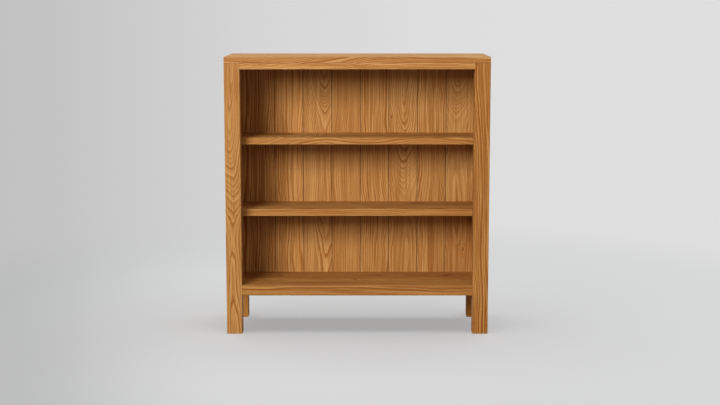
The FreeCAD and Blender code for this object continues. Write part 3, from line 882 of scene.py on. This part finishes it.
def make_screw_tree():
    """Countersunk wood screws, driven upwards: a crossed head, a threaded shank and a point."""
    tree, given, result = shape_group("wood screws", *SCREW_SIZES, "Length")
    head, length, outer = given["Head Radius"], given["Length"], given["Shank Radius"]
    core = minus(tree, outer, given["Thread Depth"])
    point = times_plus(tree, outer, -SCREW_POINT_SHARE, length)
    neck = times(tree, given["Head Height"], 2.0)
    tip = times(tree, outer, SCREW_TIP_SHARE)
    rim = times(tree, given["Head Height"], RIM_HEIGHT_SHARE)
    steps = [(0.0, times(tree, head, RIM_INSET_SHARE)), (rim, head)]
    steps += [(given["Head Height"], outer), (neck, outer)]
    steps += [(times_plus(tree, outer, 0.5, neck), core), (point, core), (length, tip)]
    body = column(tree, steps, circle(tree, ROUND_SIDES))
    arm_width = times(tree, given["Cross"], CROSS_ARM_SHARE)
    arm_size = vector_of(tree, given["Cross"], arm_width, given["Head Height"])
    arm = shaped(tree, "MeshCube", {"Size": arm_size})
    for turn in (0.0, math.pi / 2):
        body = cut_away(tree, body, moved(tree, arm, turn=(0.0, 0.0, turn)))
    run = minus(tree, point, neck)
    turns = calc(tree, "DIVIDE", run, given["Thread Pitch"])
    coil = {"Resolution": THREAD_STEPS, "Rotations": turns, "Height": run}
    coil.update({"Start Radius": core, "End Radius": core})
    coil = moved(tree, shaped(tree, "CurveSpiral", coil), vector_of(tree, 0.0, 0.0, neck))
    blade = circle(tree, THREAD_SIDES, times(tree, given["Thread Depth"], THREAD_SHARE))
    thread = shaped(tree, "CurveToMesh", {"Curve": coil, "Profile Curve": blade, "Fill Caps": True})
    return set_out(tree, given, joined(tree, body, thread), result)


def make_button_tree():
    """Wooden buttons: a block under the top with a tongue for the rail's slot and a screw hole."""
    tree, given, result = shape_group("top buttons", *BUTTON_SIZES, "Thickness")
    half = times(tree, given["Length"], 0.5)
    left = times(tree, half, -1)
    reach = plus(tree, half, given["Tongue Length"])
    step, top = given["Tongue Thickness"], given["Thickness"]
    side = vector_of(tree, 0.0, times(tree, given["Width"], 0.5), 0.0)
    outline = [(left, 0.0), (reach, 0.0), (reach, step), (half, step), (half, top), (left, top)]
    block = prism(tree, outline, given["Rounding"], 3, given["Width"], side, (math.pi / 2, 0.0, 0.0))
    sink, hole, depth = given["Sink Radius"], given["Hole Radius"], given["Sink Height"]
    below = times(tree, depth, -1)
    above = plus(tree, top, depth)
    steps = [(below, sink), (0.0, sink), (depth, hole), (above, hole)]
    bore = column(tree, steps, circle(tree, ROUND_SIDES))
    return set_out(tree, given, cut_away(tree, block, bore), result)


def make_dowel_tree():
    """Fluted dowels with their ends eased."""
    tree, given, result = shape_group("top dowels", *DOWEL_SIZES, "Length")
    radius, length = given["Radius"], given["Length"]
    ease_length = times(tree, radius, DOWEL_EASE_SHARE)
    steps = [(0.0, DOWEL_END_SHARE), (ease_length, 1.0)]
    steps += [(minus(tree, length, ease_length), 1.0), (length, DOWEL_END_SHARE)]
    inner = minus(tree, radius, given["Flute"])
    star = shaped(tree, "CurveStar", {"Points": FLUTES, "Inner Radius": inner, "Outer Radius": radius})
    return set_out(tree, given, column(tree, steps, star), result)


def grown(tree, given):
    """The plain mesh that a geometry tree makes from its inputs."""
    holder = added("holder", bpy.data.meshes.new("holder"))
    grow = holder.modifiers.new("grow", "NODES")
    grow.node_group = tree
    labels = {item.name: item.identifier for item in tree.interface.items_tree if item.in_out == "INPUT"}
    for label, value in given.items():
        grow[labels[label]] = value
    holder.update_tag()
    mesh = final_mesh(holder)
    holder.modifiers.remove(grow)
    bpy.data.objects.remove(holder)
    shape = bmesh.new()
    shape.from_mesh(mesh)
    bpy.data.meshes.remove(mesh)
    return shape


# Bare steel and beech
PIN_ZINC = (0.62, 0.62, 0.60, 1.0)
SCREW_ZINC = (0.66, 0.60, 0.44, 1.0)
BEECH_PALE = (0.60, 0.40, 0.235, 1.0)
BEECH_DARK = (0.48, 0.29, 0.155, 1.0)
BEECH_FLECK = (0.30, 0.16, 0.075, 1.0)


def steel(name, colour, rough):
    """Drawn steel wire with a dull zinc skin: fine scratches and cloudy spots."""
    made, tree, shader = new_material(name)
    place = put(tree, "TexCoord").outputs["Object"]
    spots = specks(tree, place, (420, 420, 420), 3.0)
    lines = specks(tree, place, (300, 4200, 4200))
    shade = ease(tree, spots, 0.35, 0.65, 0.0, 0.45)
    darker = tuple(part * 0.55 for part in colour[:3]) + (1.0,)
    skin = mixed(tree, shade, colour, darker)
    coat_with(tree, shader, skin, ease(tree, spots, 0.3, 0.7, rough, rough + 0.2), lines, 0.2, 0.0001)
    shader.inputs["Metallic"].default_value = 1.0
    return made


def beech(name):
    """Plain beech, left bare: a pinkish ground with short dark flecks along the grain."""
    made, tree, shader = new_material(name)
    place = put(tree, "TexCoord").outputs["Object"]
    flecks = specks(tree, place, (1400, 260, 1400))
    bands = specks(tree, place, (150, 25, 150), 2.0)
    ground = mixed(tree, ease(tree, bands, 0.3, 0.7), BEECH_PALE, BEECH_DARK)
    skin = mixed(tree, ease(tree, flecks, 0.58, 0.68, 0.0, 0.7), ground, BEECH_FLECK)
    coat_with(tree, shader, skin, ease(tree, flecks, 0.4, 0.7, 0.55, 0.7), flecks, 0.3, 0.0002)
    return made


def back_boards():
    """The eight boards of the back."""
    first = make_board_tree("first back board", False, True)
    middle = make_board_tree("back board", True, True)
    last = make_board_tree("last back board", True, False)
    for number, laid in enumerate(BACK, start=1):
        node = f"back_board_{number}"
        low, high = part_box(node)
        tongue = 0.0 if number == 1 else BOARD_SIZES["Tongue Length"]
        sizes = {
            **BOARD_SIZES, "Left": low.x + tongue, "Right": high.x,
            "Front": low.y, "Rear": high.y, "Foot": low.z, "Head": high.z,
        }
        shown = Vector((sizes["Left"], low.y, low.z))
        stock = oak("oak " + node, shown, high, Z_AXIS, -Y_AXIS, laid, groove=BEVEL)
        sizes["Finish"] = stock
        tree = first if number == 1 else last if number == len(BACK) else middle
        finished(grown(tree, sizes), "oak_" + node, stock, "oak_back", "case", node)


back_boards()


def in_rows(first, step, rows=1, row_step=(0.0, 0.0, 0.0), count=2):
    """How one kind of fixing is set out: a line of places, repeated in rows."""
    return {"First": first, "Count": count, "Step": step, "Rows": rows, "Row Step": row_step}


def fix(kind, slot, node, tree, sizes):
    """Makes one kind of fixing in place of its CAD piece."""
    finished(grown(tree, sizes), kind + "_" + node, sizes["Finish"], slot, "case", node)


def shelf_pins():
    """Four pins under each loose shelf."""
    tree = make_pin_tree()
    zinc = steel("zinc on steel pins", PIN_ZINC, 0.28)
    width, shank = PIN_SIZES["Plate Width"], PIN_SIZES["Shank Length"]
    for shelf in ("upper_shelf", "lower_shelf"):
        node = shelf + "_pins"
        low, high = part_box(node)
        wall = high.x - shank
        first = (-wall, low.y + width / 2, (low.z + high.z) / 2)
        places = in_rows(first, (2 * wall, 0.0, 0.0), 2, (0.0, high.y - low.y - width, 0.0))
        fix("steel", "steel_pins", node, tree, {**PIN_SIZES, **places, "Finish": zinc})


def screws_and_buttons():
    """Three screws up through the front rail, and four buttons with a screw in each."""
    tree = make_screw_tree()
    zinc = steel("zinc on screws", SCREW_ZINC, 0.30)
    head = SCREW_SIZES["Head Radius"]
    low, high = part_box("front_rail_screws")
    run = (high.x - low.x - 2 * head) / 2
    first = (low.x + head, (low.y + high.y) / 2, low.z)
    sizes = {**SCREW_SIZES, "Length": high.z - low.z, "Finish": zinc}
    places = in_rows(first, (run, 0.0, 0.0), count=3)
    fix("steel", "steel_screws", "front_rail_screws", tree, {**sizes, **places})

    low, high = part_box("button_screws")
    first = (low.x + head, low.y + head, low.z)
    across = high.x - low.x - 2 * head
    along = high.y - low.y - 2 * head
    places = in_rows(first, (across, 0.0, 0.0), 2, (0.0, along, 0.0))
    sizes["Length"] = high.z - low.z
    fix("steel", "steel_screws", "button_screws", tree, {**sizes, **places})

    low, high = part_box("top_buttons")
    places["First"] = (first[0], first[1], low.z)
    sizes = {**BUTTON_SIZES, "Thickness": high.z - low.z, "Finish": BARE_BEECH}
    fix("beech", "beech_fixings", "top_buttons", make_button_tree(), {**sizes, **places})


def top_dowels():
    """Two dowels between the front posts and the top."""
    low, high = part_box("top_dowels")
    radius = DOWEL_SIZES["Radius"]
    first = (low.x + radius, (low.y + high.y) / 2, low.z)
    places = in_rows(first, (high.x - low.x - 2 * radius, 0.0, 0.0))
    sizes = {**DOWEL_SIZES, "Length": high.z - low.z, "Finish": BARE_BEECH}
    fix("beech", "beech_fixings", "top_dowels", make_dowel_tree(), {**sizes, **places})


BARE_BEECH = beech("bare beech")
shelf_pins()
screws_and_buttons()
top_dowels()


# Studio: a pale floor that sweeps up into a backdrop
PLAIN_TONE = 0.70
# The greys across the frame are painted light, darker to the left
WALL_TONES = ((0.0, 0.49), (0.30, 0.665), (0.44, 0.685), (0.62, 0.735), (1.0, 0.737))
FLOOR_TONES = ((0.0, 0.494), (0.13, 0.598), (0.30, 0.722), (0.70, 0.684), (1.0, 0.708))
# A little cool, against the warm light thrown back from the oak
FLOOR_TINT = (0.990, 1.000, 1.008)
# How the tones run across the frame, and how far the floor's tones reach
FRAME_DEPTH = 4.67
FRAME_NEAREST = 3.4
FRAME_SPREAD = 1.97
FLOOR_REACH = (0.9, 2.4)
AIR_LIGHT = 0.175

FLOOR_HALF = 14.0
SWEEP_START = 5.4
SWEEP_RADIUS = 1.6
WALL_TOP = 7.0
SWEEP_STEPS = 16


def toned(tree, side, tones, tint=(1.0, 1.0, 1.0)):
    """A soft run of greys from left to right of the frame, plain on both sides of it: painted light,
    darker to the left.
    """
    spread = [(0.0, PLAIN_TONE), (0.13, 0.60)]
    spread += [(0.25 + 0.5 * position, tone) for position, tone in tones]
    spread += [(0.87, tones[-1][1]), (1.0, PLAIN_TONE)]
    ramp = put(tree, "ValToRGB", {"Fac": times_plus(tree, side, 0.5, 0.25)})
    ramp.color_ramp.interpolation = "B_SPLINE"
    while len(ramp.color_ramp.elements) < len(spread):
        ramp.color_ramp.elements.new(0.5)
    for element, (position, tone) in zip(ramp.color_ramp.elements, spread):
        element.position = position
        element.color = tuple(tone * part for part in tint) + (1.0,)
    return ramp.outputs["Color"]


def backdrop_material():
    """Pale paper. It shows the lens painted greys, a fall-off of light darker to the left, and keeps the
    shadow close to the case.
    """
    made = bpy.data.materials.new("studio paper")
    made.use_nodes = True
    tree = made.node_tree
    tree.nodes.clear()
    place = put(tree, "TexCoord").outputs["Object"]
    x, y, z = parts_of(tree, place)
    away = calc(tree, "MAXIMUM", plus(tree, y, FRAME_DEPTH), FRAME_NEAREST)
    side = times_plus(tree, calc(tree, "DIVIDE", x, away), FRAME_SPREAD, 0.5)
    near = ease(tree, calc_vector(tree, "LENGTH", place), *FLOOR_REACH, 1.0, 0.0)
    paper = mixed(tree, near, toned(tree, side, WALL_TONES), toned(tree, side, FLOOR_TONES, FLOOR_TINT))
    strength = times_plus(tree, near, -0.50, 1.0)
    glow = put(tree, "Emission", {"Color": paper, "Strength": strength})
    lit = times(tree, near, 0.85)
    matt = put(tree, "BsdfDiffuse", {"Color": mixed(tree, lit, (0.0, 0.0, 0.0, 1.0), paper)})
    shown = put(tree, "AddShader", {0: glow.outputs[0], 1: matt.outputs[0]})
    plain = put(tree, "BsdfDiffuse", {"Color": (0.52, 0.52, 0.52, 1.0)})
    path = put(tree, "LightPath").outputs
    seen = calc(tree, "MAXIMUM", path["Is Camera Ray"], path["Is Glossy Ray"])
    seen = calc(tree, "MAXIMUM", seen, path["Is Transmission Ray"])
    final = put(tree, "MixShader", {0: seen, 1: plain.outputs[0], 2: shown.outputs[0]})
    join(tree, final.outputs[0], put(tree, "OutputMaterial").inputs["Surface"])
    return made


def backdrop():
    """One sheet: flat floor, a curved sweep behind the case, and an upright wall."""
    outline = [(-FLOOR_HALF, 0.0), (0.0, 0.0), (SWEEP_START, 0.0)]
    for step in range(1, SWEEP_STEPS + 1):
        angle = math.pi / 2 * step / SWEEP_STEPS
        rise = SWEEP_RADIUS * (1 - math.cos(angle))
        outline.append((SWEEP_START + SWEEP_RADIUS * math.sin(angle), rise))
    outline.append((SWEEP_START + SWEEP_RADIUS, WALL_TOP))
    points = [(side * FLOOR_HALF, y, z) for y, z in outline for side in (-1, 1)]
    faces = [(2 * i, 2 * i + 1, 2 * i + 3, 2 * i + 2) for i in range(len(outline) - 1)]
    mesh = bpy.data.meshes.new("studio_backdrop")
    mesh.from_pydata(points, [], faces)
    mesh.polygons.foreach_set("use_smooth", [True] * len(mesh.polygons))
    mesh.materials.append(backdrop_material())
    added("studio_backdrop", mesh)


backdrop()


def world():
    """Even soft light from all round."""
    made = bpy.data.worlds.new("studio air")
    bpy.context.scene.world = made
    made.use_nodes = True
    tree = made.node_tree
    tree.nodes.clear()
    light = put(tree, "Background", {"Color": (1.0, 1.0, 1.0, 1.0), "Strength": AIR_LIGHT})
    seen = put(tree, "Background", {"Color": (PLAIN_TONE, PLAIN_TONE, PLAIN_TONE, 1.0)})
    path = put(tree, "LightPath").outputs
    final = put(tree, "MixShader", {0: path["Is Camera Ray"], 1: light.outputs[0], 2: seen.outputs[0]})
    join(tree, final.outputs[0], put(tree, "OutputWorld").inputs["Surface"])


def lamp(name, place, target, size, power, colour=(1.0, 1.0, 1.0)):
    """A rectangular soft lamp aimed at a place."""
    data = bpy.data.lights.new(name, "AREA")
    data.shape = "RECTANGLE"
    data.size, data.size_y = size
    data.energy = power
    data.color = colour
    made = added(name, data)
    made.location = place
    made.rotation_euler = (Vector(target) - Vector(place)).to_track_quat("-Z", "Y").to_euler()
    return made


world()
key = lamp("key", (-2.22, -4.07, 2.32), (0.0, 0.0, 0.45), (1.92, 1.84), 228.0)
fill = lamp("fill", (2.60, -3.30, 1.90), (-0.2, 0.0, 0.40), (1.6, 1.6), 24.0, (1.0, 0.96, 0.90))
lamp("overhead", (0.0, 0.0, 3.6), (0.0, 0.0, 0.0), (3.6, 3.6), 75.0)
apart = bpy.data.collections.new("not lit by the lamps in front")
apart.objects.link(bpy.data.objects["studio_backdrop"])
apart.collection_objects[0].light_linking.link_state = "EXCLUDE"
key.light_linking.receiver_collection = apart
fill.light_linking.receiver_collection = apart


# The photograph's view: from just above the top, looking a little down
CAMERA_PLACE = (0.0087, -4.671, 1.068)
CAMERA_TILT = math.radians(82.0)
LENS = 70.875
SENSOR_WIDTH = 36.0


def camera():
    """The camera at the place that the photograph was taken from."""
    data = bpy.data.cameras.new("camera")
    data.lens = LENS
    data.sensor_width = SENSOR_WIDTH
    data.dof.use_dof = False
    made = added("camera", data)
    made.location = CAMERA_PLACE
    made.rotation_euler = (CAMERA_TILT, 0.0, 0.0)
    bpy.context.scene.camera = made


camera()
bpy.context.scene.view_settings.view_transform = "Standard"
